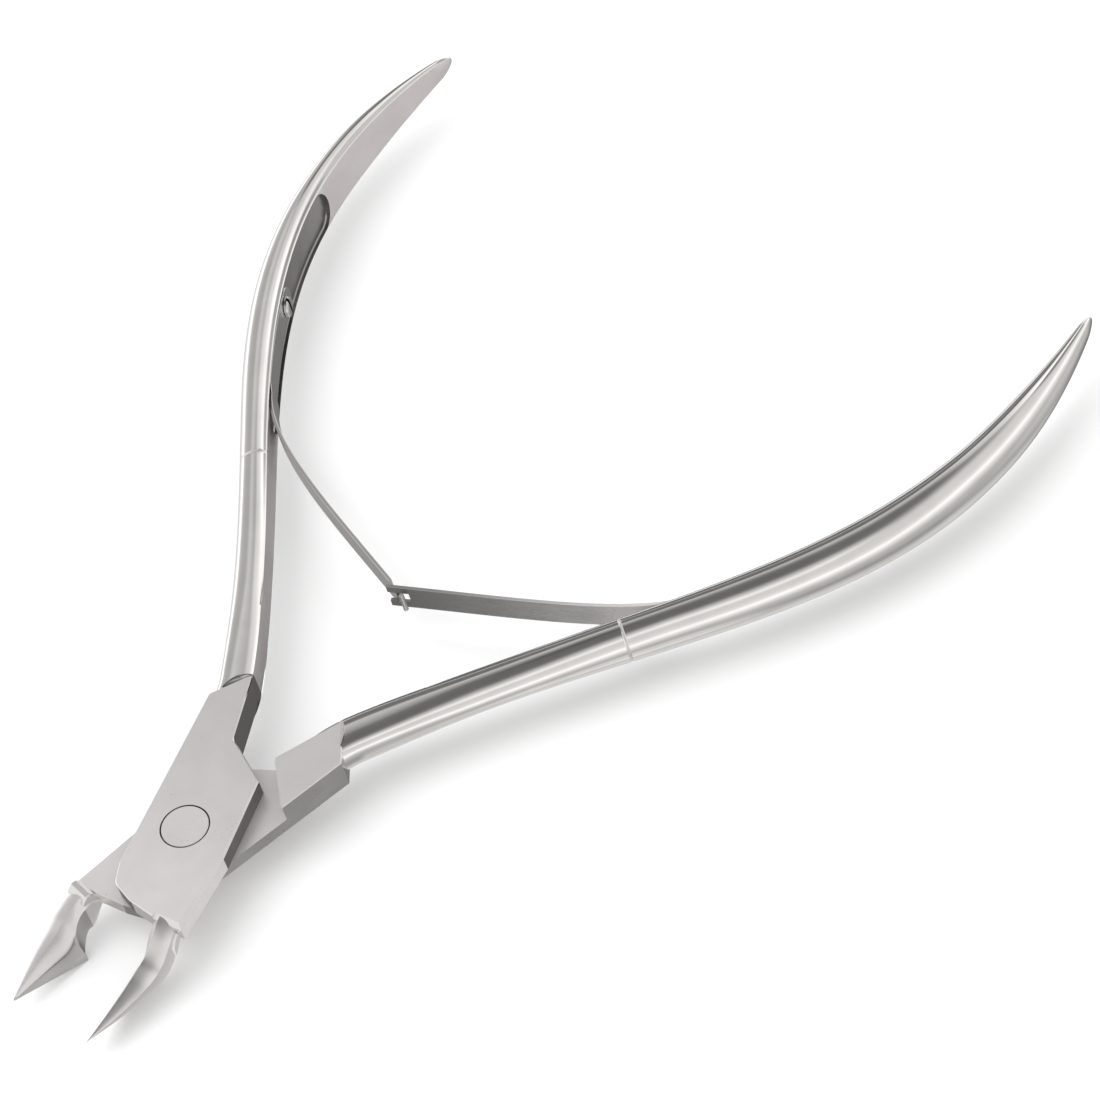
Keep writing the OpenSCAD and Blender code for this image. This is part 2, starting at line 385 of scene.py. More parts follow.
# ---- handle ----
def bulge(c, n):
    return math.copysign(abs(c) ** (2 / n), c)


def section(w, h, n, steps):
    """D section: an oval cut by the flat inner face, its corners softened. Pairs of side and up."""
    radius = w * (1 - CREST_SHARE)
    corner = min(CORNER, w / 10)
    start = math.acos((corner - CREST_SHARE * w) / radius)
    oval = []
    for i in range(steps + 1):
        a = start * (2 * i / steps - 1)
        oval.append((radius * bulge(math.cos(a), n) - w / 2 + CREST_SHARE * w,
                     h / 2 * bulge(math.sin(a), n)))
    side, up = oval[-1]
    return ([(-w / 2, corner - up), (-w / 2 + corner * 0.3, corner * 0.3 - up)] + oval
            + [(-w / 2 + corner * 0.3, up - corner * 0.3), (-w / 2, up - corner)])


def on_handle(t, side, up):
    p = centre(t) + outward(heading(t)) * side
    return np.array((p[0], p[1], MID_Z + up))


def handle_ring(t):
    w = depth_at(t)
    h = height_at(t)
    n = 2 + 0.5 * (1 - ease(t / SQUARE_UNTIL))
    if t > TIP_ROUND_T:
        s = (t - TIP_ROUND_T) / (1 - TIP_ROUND_T)
        shrink = math.sqrt(max(1 - s * s, 0.004))
        w *= shrink
        h *= shrink
    groove = RING_DEPTH * max(0, 1 - abs(t - RING_T) / RING_HALF)
    ring = []
    for side, up in section(w, h, n, 52):
        out = (side + w / 2) / w
        side -= groove * out
        up -= math.copysign(groove, up) * min(1, 4 * out)
        p = on_handle(t, side, up)
        # the round shank swells out of the flat block behind a slanted front
        in_nose = (p[:2] - NOSE_AT) @ NOSE_NORMAL
        if t < 0.1:
            rise = ease(in_nose / NOSE_L)
            limit = MID_Z - NOSE_SUNK + NOSE_SWELL * rise
            p[2] = MID_Z + max(-limit, min(limit, p[2] - MID_Z))
        ring.append(p)
    return ring


def handle(name):
    nose = list(np.linspace(-0.9, -0.005, 100))
    shank = [TIP_ROUND_T * s ** 1.6 for s in np.linspace(0, 1, 170)]
    shank = [t for t in shank if abs(t - RING_T) > 0.004]
    ring = [RING_T + RING_HALF * d for d in (-2, -1, -0.5, 0, 0.5, 1, 2)]
    tip = [TIP_ROUND_T + (1 - TIP_ROUND_T) * math.sin(a)
           for a in np.linspace(0.12, math.pi / 2, 14)]
    return loft(name, [handle_ring(t) for t in sorted(nose + shank + ring + tip)])


SEAT_END_L = 2.0             # length of the pocket's rounded ends
SEAT_FILLET = 0.12


def seat_cutter(name):
    """Milled pocket in the inner face, with round ends."""
    rings = []
    length = np.linalg.norm(centre(SEAT_TO) - centre(SEAT_FROM)) * 1.02
    reach = SEAT_END_L / length
    spread = [0.5 - 0.5 * math.cos(a) for a in np.linspace(0, math.pi, 61)]
    for s in spread:
        t = SEAT_FROM + (SEAT_TO - SEAT_FROM) * s
        w = depth_at(t)
        half = height_at(t) * SEAT_SHARE / 2
        from_end = min(s, 1 - s) / reach
        if from_end < 1:
            half *= math.sqrt(max(1 - (1 - from_end) ** 2, 0.01))
        floor = SEAT_DEPTH - w / 2
        open_side = -1 - w / 2
        rings.append([on_handle(t, side, up) for side, up in
                      ((open_side, -half), (floor - SEAT_FILLET, -half),
                       (floor, -half + SEAT_FILLET), (floor, half - SEAT_FILLET),
                       (floor - SEAT_FILLET, half), (open_side, half))])
    return loft(name, rings)


# ---- joint, drawn closed ----
def lap_outline(own, far):
    outline = [(own + 0.78, 14.66), (own - 0.2, -5.6), (own - 0.9, -7.8), (1.2, -9.1),
               (-1.8, -10), (-far + 0.1, -10.4), (-far - 0.1, -2), (-far + 0.7, 6.8),
               (-1.1, 9.5), (0.3, 10.5), (2.03, 18.06)]
    return rounded(outline, [0, 1.2, 1.4, 2.5, 0.9, 0, 2, 0.12, 1.2, 1.2, 0])


def half_cutter(name, own, z_from, z_to):
    """Takes away the other arm's half of the joint, up to the step of the block."""
    outline = [(-15, -15), (15, -15), (15, 7.6), (own + 0.25, 7.6), (0.8, 10.5), (0.3, 11),
               (-15, 11)]
    return plate(name, outline, z_from, z_to)


def shoulder(name, profile, x_in, x_out):
    """Collar behind the jaw, from a (y, z) profile."""
    bm_rings = []
    middle = np.mean(profile, axis=0)
    for x, shrink in ((x_in, 0.12), (x_in - 0.12, 0), (x_out + 0.15, 0), (x_out, 0.15)):
        ring = []
        for y, z in profile:
            d = np.array((y, z)) - middle
            q = middle + d * (1 - shrink / np.linalg.norm(d))
            ring.append((x, q[0], q[1]))
        bm_rings.append(ring)
    return loft(name, bm_rings)


# ---- jaw ----
def jaw_corners(y, rise):
    """Corners of the neck and blade at y, from the cutting edge over the crown and back.

    The rise lifts the crown of the neck towards the plate.
    """
    u = min(max((-y - HEEL_Y) / EDGE_L, 0), 1)
    v = min(max((-y - SHOULDER_Y) / (HEEL_Y - SHOULDER_Y), 0), 1)
    w = JAW_W * (1 - u ** 1.3) + 0.1
    cut_z = TIP_RISE * u - HEEL_DROP
    crown_z = 0.95 - 1.7 * u
    rim_z = crown_z - 0.18 * w
    fade = 1 - u
    blade = np.array([(EDGE_GAP, cut_z),
                      (EDGE_GAP + 0.03 + 0.1 * fade, cut_z + 0.04 + 0.5 * fade),
                      (EDGE_GAP + 0.16 * w, cut_z + 0.1 + 2.1 * fade),
                      (EDGE_GAP + 0.5 * w, crown_z),
                      (w, rim_z),
                      (w - 0.03, rim_z - 0.05 - 1.2 * fade),
                      (0.5 * w, cut_z + 0.05 + 0.9 * fade)])
    neck = np.array([(1.75, -1.9), (1.7, -1.3), (1.74, 0.9), (2.5, 1.75), (4.2, 1.2),
                     (4.2, -0.9), (2.9, -2.1)])
    corners = neck + (blade - neck) * ease((-y - 11.2) / 4.6)
    # the inner wall sweeps round from the crotch to the heel of the edge
    swing = 1 - math.sqrt(max(1 - v * v, 0))
    corners[:2] = neck[:2] + (blade[:2] - neck[:2]) * np.array((swing, ease(v)))
    corners[2, 0] = max(corners[2, 0], corners[1, 0] + 0.04)
    corners[2:6, 1] += rise
    # behind the collar the neck's underside runs up into the joint
    deep = ease((-y - 9.4) / 2.4)
    low_z = 0.15 if rise < 0.8 else LAP_T + 0.2
    below = np.minimum(corners[:, 1] - low_z, 0)
    corners[:, 1] = np.maximum(corners[:, 1], low_z) + below * deep
    return corners


def jaw_ring(y, rise):
    """Cross-section of the neck and blade at y: its corners joined by straight or bowed sides."""
    corners = jaw_corners(y, rise)
    bows = (0, 0, -0.05, 0.07, 0.04, 0, 0.05)
    steps = (2, 4, 6, 9, 3, 4, 4)
    ring = []
    for i, (bow, count) in enumerate(zip(bows, steps)):
        a = corners[i]
        b = corners[(i + 1) % len(corners)]
        along = b - a
        side = np.array((along[1], -along[0])) * -bow * (1 if i != 6 else -1)
        middle = (a + b) / 2 + side * 2
        for k in range(count):
            q = quadratic(a, middle, b, k / count)
            ring.append((-q[0], y, q[1]))
    return ring


def jaw(name, lower):
    """Neck and blade. The upper arm's neck comes down from the height of its plate."""
    start = -9.6
    lift = -0.6 if lower else 1.55
    settle = 1.6 if lower else 4.2
    neck = list(np.linspace(start, -HEEL_Y, 20))
    blade = [-HEEL_Y - EDGE_L * s for s in np.linspace(0.03, 1, 30)]
    return loft(name, [jaw_ring(y, lift * (1 - ease((start - y) / settle)))
                       for y in neck + blade])


# ---- screws and rivet ----
def at_screw(obj):
    """Stands a shape drawn on +Z on the seat at the spring screw."""
    p = face_point(SCREW_T, -SEAT_DEPTH)
    d = -outward(heading(SCREW_T))
    axis = Vector((d[0], d[1], 0))
    basis = Matrix((Vector((0, 0, -1)), axis.cross(Vector((0, 0, -1))), axis)).transposed()
    origin = Vector((p[0], p[1], MID_Z))
    reshape(obj, lambda co: basis @ co + origin)
    return obj


def post(name, r, z_from, z_to, steps=40):
    return lathe(name, [(0, z_from), (r, z_from), (r, z_to), (0, z_to)], steps)


def rivet_bore(name, head_end):
    """Hole for the rivet with a recess for its head at the top, 1, or the underside, -1."""
    shank = RIVET_SHANK_D / 2 + RIVET_GAP
    head = RIVET_D / 2 + RIVET_GAP
    profile = [(0, -1), (head + 0.05, -1), (head + 0.05, 0), (head, 0.12),
               (head, RIVET_HEAD_T + RIVET_GAP), (shank, RIVET_HEAD_T + RIVET_GAP),
               (shank, 5), (0, 5)]
    bore = lathe(name, profile)
    if head_end > 0:
        reshape(bore, lambda co: Vector((co[0], co[1], JOINT_T - co[2])), True)
    return bore


def make_arm(name, own, far, lower):
    outline = []
    for x, y in lap_outline(own, far):
        # the chamfer widens towards the jaw on the far side
        wide = 0.1 + (0.38 * ease((3 - y) / 12) if x < -1.8 and not lower else 0)
        outline.append((x, y, wide))
    arm = plate(name, outline, 0, JOINT_T, 0.12)
    join(arm, handle("handle"))
    if lower:
        cut(arm, half_cutter("half", own, LAP_T, 12))
        profile = [(-9.9, 1.2), (-10.6, 1.95), (-11.1, 1.95), (-11.7, 1.4), (-11.7, 0.2),
                   (-9.9, 0.2)]
        x_in = -1.9
    else:
        cut(arm, half_cutter("half", own, -12, LAP_T + LAP_GAP))
        profile = [(-9.9, 1.7), (-10.4, 2.3), (-11.2, 1.9), (-11.7, 1.2), (-11.7, 0.2),
                   (-9.9, 1.6)]
        x_in = -3.1
    collar = shoulder("shoulder", profile, x_in, -SHOULDER_OUT - 0.06)
    join(arm, collar, jaw("jaw", lower))
    bore = at_screw(post("screw_bore", SCREW_SHANK_D / 2 + SCREW_GAP, -2, 3))
    cut(arm, rivet_bore("bore", -1 if lower else 1), seat_cutter("seat"), bore)
    return arm


# the wall faces index marks faces painted dark as shade in gaps, the rivet's bore and the pocket's
# walls
POLISHED_FACE, SATIN_FACE, MILLED_FACE, INNER_FACE, PAINTED_SHADE_FACE, JAW_FACE, SEAT_FACE = range(7)


def finish_and_shade_index(centre_mm, normal):
    """Which finish, or painted shade, a face of a closed arm takes, from its place and the way it
    faces.
    """
    x, y, z = centre_mm
    before_nose = (np.array((x, y)) - NOSE_AT) @ NOSE_NORMAL < 0.02
    if y < 22 and before_nose:
        level = abs(normal[2]) > 0.98
        upright = abs(normal[2]) < 0.5
        # painted shade on the bore's walls round the rivet
        if not level and math.hypot(x, y) < RIVET_D / 2 + 0.2:
            return PAINTED_SHADE_FACE
        if y < -11.8 and -x < jaw_corners(y, 0)[2][0] + 0.02:
            return MILLED_FACE
        if y < -9.5 and x < 0:
            return JAW_FACE
        # painted shade on the plate's upright wall above the lap, towards the jaw
        if upright and x > 0 and y < -7 and z > LAP_T:
            return PAINTED_SHADE_FACE
        if 0.2 < normal[2] < 0.98:
            return POLISHED_FACE
        if upright and normal[0] > 0.3:
            return MILLED_FACE
        # painted shade on walls that face the gap to the other arm and beside the handle
        if upright and normal[0] < 0.3 and y > -5 and (x < 0.9 or y > 11):
            return PAINTED_SHADE_FACE
        return SATIN_FACE
    if y < 13:
        return POLISHED_FACE
    t = float(HANDLE_STEPS[np.argmin(np.sum((HANDLE_LINE - (x, y)) ** 2, axis=1))])
    side = float((np.array((x, y)) - centre(t)) @ outward(heading(t)))
    inner = -depth_at(t) / 2
    if abs(t - RING_T) < RING_HALF:
        return SATIN_FACE
    facing = float(np.array(normal[:2]) @ -outward(heading(t)))
    tip = t > TIP_ROUND_T
    if facing > (0.6 if tip else 0.9) and side < inner + (0.5 if tip else 0.06):
        return INNER_FACE
    # in the spring's pocket the floor keeps its own steel and the walls are painted dark as shade
    if side < inner + SEAT_DEPTH + 0.1 and SEAT_FROM - 0.01 < t < SEAT_TO + 0.01 \
            and abs(z - MID_Z) < height_at(t) * SEAT_SHARE / 2 + 0.02 and facing > -0.2:
        return SEAT_FACE if facing > 0.5 else PAINTED_SHADE_FACE
    return POLISHED_FACE


def give_finishes_and_shade(obj, materials):
    for material in materials:
        obj.data.materials.append(material)
    for face in obj.data.polygons:
        face.material_index = finish_and_shade_index(face.center, face.normal)


# ---- springs, drawn open on the +X side ----
def leaf_path():
    leave = turned(face_point(LEAVE_T, -LEAVE_DEPTH), -HALF_OPEN)
    before = turned(face_point(LEAVE_T + 0.02, -LEAVE_DEPTH), -HALF_OPEN)
    run = unit(leave - before)
    on_seat = [turned(face_point(t, LEAF_T / 2 + 0.02 - SEAT_DEPTH), -HALF_OPEN)
               for t in np.linspace(LEAF_ROOT_T, LEAVE_T + 0.02, 34)]
    free = [cubic(leave, leave + run * LEAVE_RUN, LOCK_PULL, LOCK_END, s)
            for s in np.linspace(0, 1, 110)]
    return on_seat + free


def leaf_strip(name):
    path = leaf_path()
    rings = []
    travelled = 0
    for i, p in enumerate(path):
        a = path[max(i - 1, 0)]
        b = path[min(i + 1, len(path) - 1)]
        if i:
            travelled += np.linalg.norm(p - path[i - 1])
        side = outward(unit(b - a))
        half = LEAF_H / 2
        if travelled < half:
            half *= math.sqrt(max(1 - (1 - travelled / half) ** 2, 0.03))
        ring = []
        for s, u in ((-1, -1), (1, -1), (1, 1), (-1, 1)):
            for c in (0, 1):
                first = (c == 0) == (s * u > 0)
                thick = LEAF_T / 2 - (0 if first else 0.06)
                tall = half - (0.06 if first else 0)
                q = p + side * s * thick
                ring.append((q[0], q[1], MID_Z + u * tall))
        rings.append(ring)
    return loft(name, rings)


def box(name, low, high):
    outline = [(low[0], low[1]), (high[0], low[1]), (high[0], high[1]), (low[0], high[1])]
    return plate(name, outline, low[2], high[2])


def hook_box(name, x_to, z_from, z_to):
    """Box round the hooked ends that reaches to x_to past the middle."""
    return box(name, (-HOOK_BOX, LOCK_Y - HOOK_BOX, z_from), (x_to, LOCK_Y + HOOK_BOX, z_to))


def open_only(obj):
    """Turns a shape drawn closed to its open place, still in millimetres."""
    reshape(obj, lambda co: Vector((*turned(co[:2], -HALF_OPEN), co[2])))
    return obj


def make_leaf(name, lower):
    leaf = leaf_strip(name)
    hole = open_only(at_screw(post("leaf_hole", SCREW_SHANK_D / 2 + 2 * SCREW_GAP, -1, 2)))
    cut(leaf, hole)
    if lower:
        cut(leaf, hook_box("slot", FORK_END, MID_Z - FORK_H / 2, MID_Z + FORK_H / 2))
    else:
        beyond = LEAF_H + 0.5
        cut(leaf, hook_box("above", TONGUE_END, MID_Z + TONGUE_H / 2, MID_Z + beyond),
            hook_box("below", TONGUE_END, MID_Z - beyond, MID_Z - TONGUE_H / 2))
        end = BAR_L / 2
        bar = lathe("bar", [(0, -end), (BAR_R - BAR_CHAMFER, -end), (BAR_R, BAR_CHAMFER - end),
                            (BAR_R, end - BAR_CHAMFER), (BAR_R - BAR_CHAMFER, end), (0, end)], 24)
        reshape(bar, lambda co: co + Vector((*BAR_AT, MID_Z)))
        join(leaf, bar)
    return leaf


def make_screw(name):
    low = LEAF_T + SCREW_LIFT
    high = low + SCREW_HEAD_T
    r = SCREW_HEAD_D / 2
    s = SCREW_SHANK_D / 2
    profile = [(0, -SCREW_SHANK_L), (s - 0.1, -SCREW_SHANK_L), (s, 0.1 - SCREW_SHANK_L), (s, low),
               (r - 0.06, low), (r, low + 0.06), (r, high - 0.2), (r - 0.06, high - 0.1),
               (r - 0.22, high - 0.03), (r - 0.5, high), (0, high)]
    screw = lathe(name, profile, 48)
    slot_floor = low + SCREW_SLOT_FLOOR
    half_slot = SCREW_SLOT_W / 2
    slot = box("slot", (-3, -half_slot, slot_floor), (3, half_slot, high + 1))
    cut(screw, slot)
    for material in (SCREW, PAINTED_SHADE_STEEL):
        screw.data.materials.append(material)
    for face in screw.data.polygons:
        # painted shade: the slot and the underside of the head take the dark shade steel
        in_slot = abs(face.center.y) < half_slot + 0.01 and face.center.z > slot_floor - 0.01
        face.material_index = 1 if in_slot or face.center.z < low + 0.07 else 0
    return at_screw(screw)


def make_rivet(name):
    r = RIVET_D / 2
    s = RIVET_SHANK_D / 2
    # the head stops just short of its recess, so that a fine dark ring shows round it
    rim = r - 0.03
    flat = r - 0.07
    profile = [(0, 0), (flat, 0), (rim, 0.12), (rim, RIVET_HEAD_T), (s, RIVET_HEAD_T),
               (s, JOINT_T - RIVET_HEAD_T), (rim, JOINT_T - RIVET_HEAD_T),
               (rim, JOINT_T - 0.12), (flat, JOINT_T), (0, JOINT_T)]
    rivet = lathe(name, profile, 96)
    reshape(rivet, lambda co: co * MM)
    return rivet


# ---- materials ----
NO_FADE = (0.0, 1.0, 1.0, 1.0)            # metres from and to, and the tone at each


def steel(name, colour, roughness, spread, grain_scale, grain_depth, stretch, metallic=1.0,
          fade=NO_FADE):
    """Metal with a directional grain.

    The roughness wanders by spread, and the grain is cut grain_depth metres deep. The grain
    runs along the axis whose stretch is small.
    """
    material = bpy.data.materials.new(name)
    material.use_nodes = True
    nodes = material.node_tree.nodes
    links = material.node_tree.links
    shader = nodes["Principled BSDF"]
    shader.inputs["Metallic"].default_value = metallic
    place_in = nodes.new("ShaderNodeTexCoord")
    grain_map = nodes.new("ShaderNodeMapping")
    grain_map.inputs["Scale"].default_value = stretch
    links.new(place_in.outputs["Object"], grain_map.inputs["Vector"])
    grain = nodes.new("ShaderNodeTexNoise")
    grain.inputs["Scale"].default_value = grain_scale
    grain.inputs["Detail"].default_value = 4
    links.new(grain_map.outputs["Vector"], grain.inputs["Vector"])
    cloud = nodes.new("ShaderNodeTexNoise")
    cloud.inputs["Scale"].default_value = 260
    cloud.inputs["Detail"].default_value = 3
    links.new(place_in.outputs["Object"], cloud.inputs["Vector"])
    # roughness follows the grain and larger, softer patches
    both = nodes.new("ShaderNodeMath")
    both.operation = "MULTIPLY_ADD"
    links.new(cloud.outputs["Fac"], both.inputs[0])
    both.inputs[1].default_value = 0.5
    links.new(grain.outputs["Fac"], both.inputs[2])
    rough = nodes.new("ShaderNodeMapRange")
    rough.inputs["From Min"].default_value = 0.4
    rough.inputs["From Max"].default_value = 1.1
    rough.inputs["To Min"].default_value = roughness - spread
    rough.inputs["To Max"].default_value = roughness + spread
    links.new(both.outputs[0], rough.inputs["Value"])
    links.new(rough.outputs[0], shader.inputs["Roughness"])
    tint = nodes.new("ShaderNodeValToRGB")
    tint.color_ramp.elements[0].position = 0.3
    tint.color_ramp.elements[0].color = (*[c * 0.93 for c in colour], 1)
    tint.color_ramp.elements[1].position = 0.7
    tint.color_ramp.elements[1].color = (*colour, 1)
    links.new(cloud.outputs["Fac"], tint.inputs["Fac"])
    # painted shade and light: the tone changes smoothly from one place along Y to another
    split = nodes.new("ShaderNodeSeparateXYZ")
    links.new(place_in.outputs["Object"], split.inputs[0])
    along = nodes.new("ShaderNodeMapRange")
    along.interpolation_type = "SMOOTHSTEP"
    for label, value in zip(("From Min", "From Max", "To Min", "To Max"), fade):
        along.inputs[label].default_value = value
    links.new(split.outputs["Y"], along.inputs["Value"])
    blended = nodes.new("ShaderNodeVectorMath")
    blended.operation = "SCALE"
    links.new(tint.outputs["Color"], blended.inputs[0])
    links.new(along.outputs[0], blended.inputs["Scale"])
    links.new(blended.outputs[0], shader.inputs["Base Color"])
    bump = nodes.new("ShaderNodeBump")
    bump.inputs["Strength"].default_value = 1.0
    bump.inputs["Distance"].default_value = grain_depth
    links.new(grain.outputs["Fac"], bump.inputs["Height"])
    links.new(bump.outputs["Normal"], shader.inputs["Normal"])
    return material


ALONG_Y = (1.0, 0.06, 1.0)
POLISHED = steel("polished steel", (0.80, 0.79, 0.775), 0.11, 0.04, 900, 4e-7, ALONG_Y)
# the satin steel carries painted shade: lighter towards the jaw, darker towards the handle, where
# the handle would shade the plate
SATIN = steel("satin steel", (0.88, 0.86, 0.85), 0.34, 0.08, 5200, 2.5e-6, (1.0, 0.6, 1.0), 0.72,
              (-0.010, 0.014, 1.11, 0.89))
MILLED = steel("milled side steel", (0.56, 0.555, 0.55), 0.30, 0.08, 1500, 3e-6, (1.0, 0.1, 1.0))
# the inner face steel carries painted shade: darker close to the joint, between the handles
INNER = steel("brushed inner face steel", (0.80, 0.765, 0.76), 0.42, 0.08, 2400, 3e-6,
              (1.0, 0.08, 1.0), 0.8, (0.019, 0.036, 0.75, 1.0))
# painted shade: a dark steel put on gap walls, the rivet's bore, the pocket's walls and the screw's
# slot, where shade falls
PAINTED_SHADE_STEEL = steel("painted shade steel", (0.20, 0.19, 0.185), 0.34, 0.08, 1500, 3e-6, ALONG_Y)
JAW = steel("honed jaw steel", (0.86, 0.845, 0.835), 0.32, 0.06, 1500, 1e-6, ALONG_Y, 0.88)
SEAT = steel("spring seat steel", (0.46, 0.455, 0.45), 0.32, 0.08, 1500, 3e-6, (1.0, 0.1, 1.0))
RIVET = steel("rivet steel", (0.90, 0.88, 0.87), 0.32, 0.08, 5200, 2.5e-6, (0.6, 1.0, 1.0), 0.72)
ALONG_LEAF = (0.08, 0.08, 1.0)
# the lower spring carries painted shade near its hooked end and painted light along the rest of it
SPRINGS = {"lower": steel("lower spring steel", (0.74, 0.73, 0.715), 0.28, 0.05, 1800, 3e-7,
                          ALONG_LEAF, 0.7, (0.032, 0.044, 0.4, 1.3)),
           "upper": steel("upper spring steel", (0.62, 0.61, 0.60), 0.26, 0.05, 1800, 3e-7,
                          ALONG_LEAF)}
SCREW = steel("screw steel", (0.74, 0.74, 0.74), 0.2, 0.06, 2600, 2e-6, (1.0, 1.0, 0.3))


# ---- the pieces ----
lower_arm = make_arm("lower_arm_forging", LOWER_SIDE, UPPER_SIDE + 0.1, True)
upper_arm = make_arm("upper_arm_forging", UPPER_SIDE, LOWER_SIDE + 0.1, False)
for arm, side, body in ((lower_arm, 1, "lower_arm"), (upper_arm, -1, "upper_arm")):
    give_finishes_and_shade(arm, (POLISHED, SATIN, MILLED, INNER, PAINTED_SHADE_STEEL, JAW, SEAT))
    place(arm, side)
    shade(arm)
    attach(arm, body)
    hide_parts(body)

rivet = make_rivet("flush_rivet")
rivet.data.materials.append(RIVET)
shade(rivet)
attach(rivet, "lower_arm")
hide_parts("pivot_rivet")

for label, side in (("lower", 1), ("upper", -1)):
    screw = make_screw(f"{label}_slotted_screw")
    place(screw, side)
    shade(screw, 20)
    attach(screw, f"{label}_arm")
    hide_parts(f"{label}_spring_screw")

    leaf = make_leaf(f"{label}_leaf", label == "lower")
    place(leaf, side, opened=False)
    leaf.data.materials.append(SPRINGS[label])
    shade(leaf, 20)
    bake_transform(leaf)
    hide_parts(f"{label}_leaf_spring")


# ---- stage, lights and camera ----
def direction(azimuth, elevation):
    """Unit vector from the object towards a place; azimuth 0 is towards -Y, 90 towards +X."""
    a = math.radians(azimuth)
    e = math.radians(elevation)
    return Vector((math.sin(a) * math.cos(e), -math.cos(a) * math.cos(e), math.sin(e)))


LOOK_AT = Vector((0, 0.044, 0.002))


def soft_light(name, azimuth, elevation, distance, size, power, colour=(1, 1, 1)):
    data = bpy.data.lights.new(name, "AREA")
    data.shape = "RECTANGLE"
    data.size, data.size_y = size
    data.energy = power
    data.color = colour
    lamp = bpy.data.objects.new(name, data)
    bpy.context.scene.collection.objects.link(lamp)
    towards = direction(azimuth, elevation)
    lamp.location = LOOK_AT + towards * distance
    lamp.rotation_mode = "QUATERNION"
    lamp.rotation_quaternion = towards.to_track_quat("Z", "Y")
    lamp.visible_glossy = False   # the metal mirrors the world's soft cards, not the lamp
    return lamp


def make_floor():
    z = cad_box[0].z - 0.00005
    bm = bmesh.new()
    bmesh.ops.create_circle(bm, cap_ends=True, segments=96, radius=3.0)
    mesh = bpy.data.meshes.new("floor")
    bm.to_mesh(mesh)
    bm.free()
    floor = bpy.data.objects.new("floor", mesh)
    floor.location = (LOOK_AT.x, LOOK_AT.y, z)
    bpy.context.scene.collection.objects.link(floor)
    material = bpy.data.materials.new("pale floor")
    material.use_nodes = True
    shader = material.node_tree.nodes["Principled BSDF"]
    shader.inputs["Base Color"].default_value = (0.93, 0.93, 0.93, 1)
    shader.inputs["Roughness"].default_value = 0.9
    shader.inputs["Specular IOR Level"].default_value = 0.0
    floor.data.materials.append(material)
    floor.visible_glossy = False


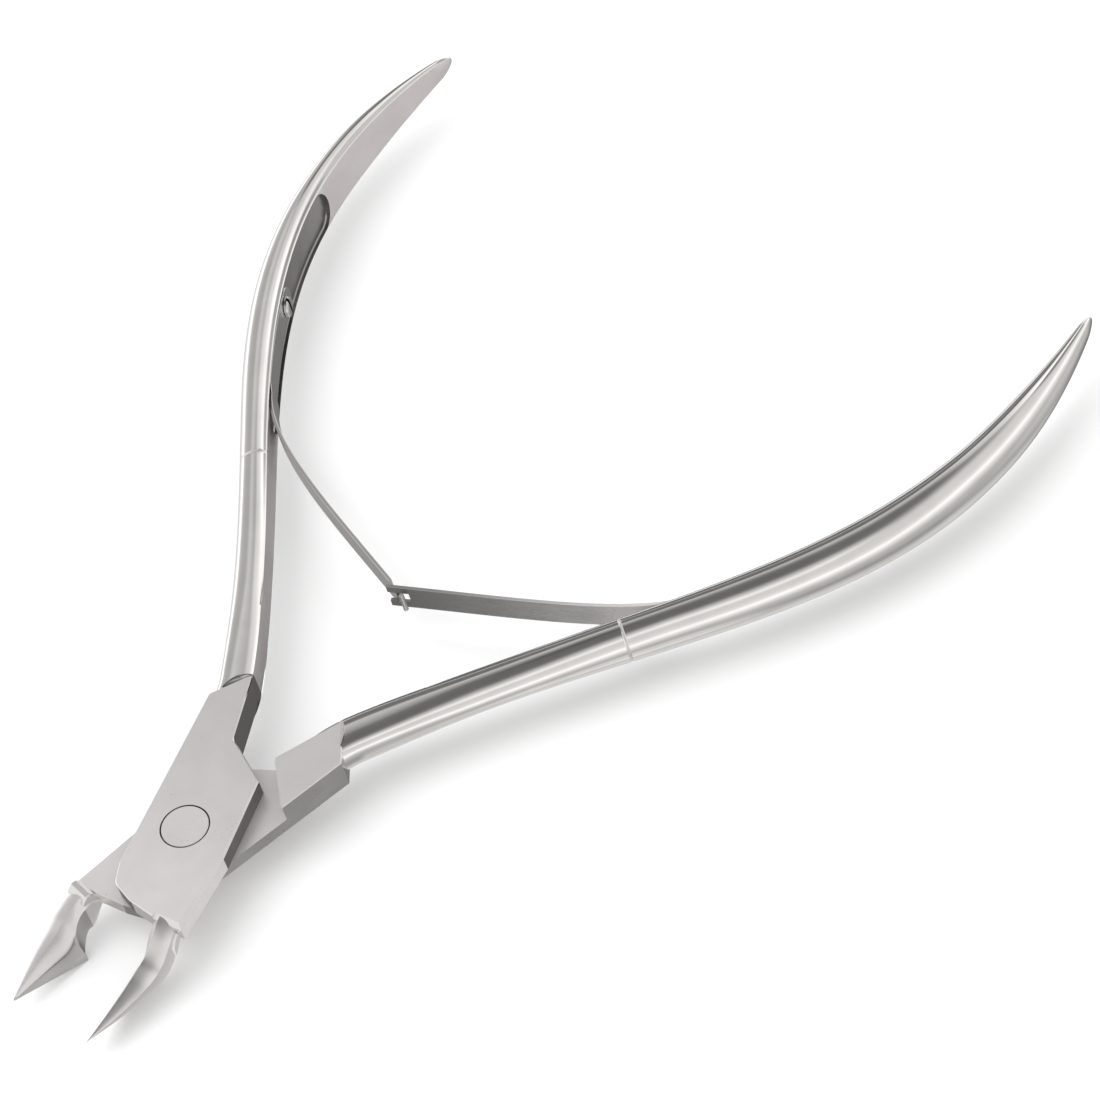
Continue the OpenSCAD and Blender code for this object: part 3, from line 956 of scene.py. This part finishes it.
def make_world():
    """Studio surroundings seen only in the metal: a tone for each height, and soft cards.

    What the camera sees past the object, and what lights it, is plain white.
    """
    world = bpy.data.worlds.new("studio")
    bpy.context.scene.world = world
    world.use_nodes = True
    nodes = world.node_tree.nodes
    links = world.node_tree.links
    nodes.clear()
    place_in = nodes.new("ShaderNodeTexCoord")
    parts = nodes.new("ShaderNodeSeparateXYZ")
    links.new(place_in.outputs["Generated"], parts.inputs[0])
    height = nodes.new("ShaderNodeMapRange")
    height.inputs["From Min"].default_value = -1
    links.new(parts.outputs["Z"], height.inputs["Value"])
    ramp = nodes.new("ShaderNodeValToRGB")
    stops = [(0.0, 0.80), (0.05, 0.60), (0.11, 0.38), (0.2, 0.54), (0.28, 0.62), (0.40, 1.05),
             (0.45, 1.30), (0.5, 1.30), (0.55, 1.00), (0.65, 0.84), (0.8, 0.80), (0.86, 0.70),
             (0.9, 0.50), (0.93, 0.38), (0.965, 0.22), (1.0, 0.17)]
    ramp.color_ramp.elements.remove(ramp.color_ramp.elements[1])
    ramp.color_ramp.elements[0].position = 0
    for position, _ in stops[1:]:
        ramp.color_ramp.elements.new(position)
    for element, (_, level) in zip(ramp.color_ramp.elements, stops):
        element.color = (level, level * 0.985, level * 0.975, 1)
    links.new(height.outputs[0], ramp.inputs["Fac"])
    tone = ramp.outputs["Color"]
    # cards round the object: where they stand, the cosines they fade between, and their strength
    cards = [((-0.80, 0.59, 0.10), 0.97, 0.99, 0.17), ((-0.63, 0.57, 0.53), 0.965, 0.985, 0.25),
             ((0.22, 0.80, 0.52), 0.955, 0.98, 0.4), ((-0.45, 0.66, 0.60), 0.97, 0.995, 0.7),
             ((0.07, 0.54, 0.84), 0.955, 0.985, 1.35), ((0.40, 0.50, -0.77), 0.90, 0.98, 1.25),
             ((-0.45, -0.12, 0.88), 0.92, 0.98, 0.2),
             ((-0.93, 0.08, 0.30), 0.88, 0.97, 0.62), ((-0.90, 0.12, -0.40), 0.90, 0.98, 1.45),
             ((-0.15, 0.62, 0.77), 0.92, 0.98, 1.70), ((0.50, -0.33, 0.80), 0.93, 0.985, 1.50),
             ((-0.15, 0.75, -0.50), 0.85, 0.95, 0.60), ((0.35, -0.53, -0.77), 0.93, 0.99, 2.2),
             ((-0.15, -0.65, -0.74), 0.93, 0.99, 0.5)]
    for place_at, fade_from, fade_to, strength in cards:
        near = nodes.new("ShaderNodeVectorMath")
        near.operation = "DOT_PRODUCT"
        near.inputs[1].default_value = Vector(place_at).normalized()
        links.new(place_in.outputs["Generated"], near.inputs[0])
        amount = nodes.new("ShaderNodeMapRange")
        amount.interpolation_type = "SMOOTHSTEP"
        amount.inputs["From Min"].default_value = fade_from
        amount.inputs["From Max"].default_value = fade_to
        amount.inputs["To Min"].default_value = 1.0
        amount.inputs["To Max"].default_value = strength
        links.new(near.outputs["Value"], amount.inputs["Value"])
        scaled = nodes.new("ShaderNodeVectorMath")
        scaled.operation = "SCALE"
        links.new(tone, scaled.inputs[0])
        links.new(amount.outputs[0], scaled.inputs["Scale"])
        tone = scaled.outputs[0]
    lit = nodes.new("ShaderNodeBackground")
    links.new(tone, lit.inputs["Color"])
    seen = nodes.new("ShaderNodeBackground")
    seen.inputs["Color"].default_value = (1, 1, 1, 1)
    ray = nodes.new("ShaderNodeLightPath")
    mix = nodes.new("ShaderNodeMixShader")
    plain = nodes.new("ShaderNodeMath")
    plain.operation = "MAXIMUM"
    links.new(ray.outputs["Is Camera Ray"], plain.inputs[0])
    links.new(ray.outputs["Is Diffuse Ray"], plain.inputs[1])
    links.new(plain.outputs[0], mix.inputs[0])
    links.new(lit.outputs[0], mix.inputs[1])
    links.new(seen.outputs[0], mix.inputs[2])
    out = nodes.new("ShaderNodeOutputWorld")
    links.new(mix.outputs[0], out.inputs["Surface"])


CAMERA_AT = Vector((230.80, -134.90, 333.06)) * MM
CAMERA_AZIMUTH = 50.964
CAMERA_ELEVATION = 49.369
CAMERA_ROLL = -17.899
FOCAL_SHARE = 4500 / 1100    # focal length as a share of the picture's width


def make_camera():
    data = bpy.data.cameras.new("camera")
    data.sensor_width = 36
    data.lens = 36 * FOCAL_SHARE
    data.clip_start = 0.01
    data.clip_end = 20
    camera = bpy.data.objects.new("camera", data)
    bpy.context.scene.collection.objects.link(camera)
    back = direction(CAMERA_AZIMUTH, CAMERA_ELEVATION)
    level = direction(CAMERA_AZIMUTH + 90, 0)
    right = Matrix.Rotation(math.radians(CAMERA_ROLL), 3, back) @ level
    turn = Matrix((right, back.cross(right), back)).transposed()
    camera.matrix_world = Matrix.Translation(CAMERA_AT) @ turn.to_4x4()
    bpy.context.scene.camera = camera


make_floor()
make_world()
make_camera()
soft_light("key", 290, 65, 1.1, (1.0, 1.0), 5)
bpy.context.scene.view_settings.view_transform = "Standard"
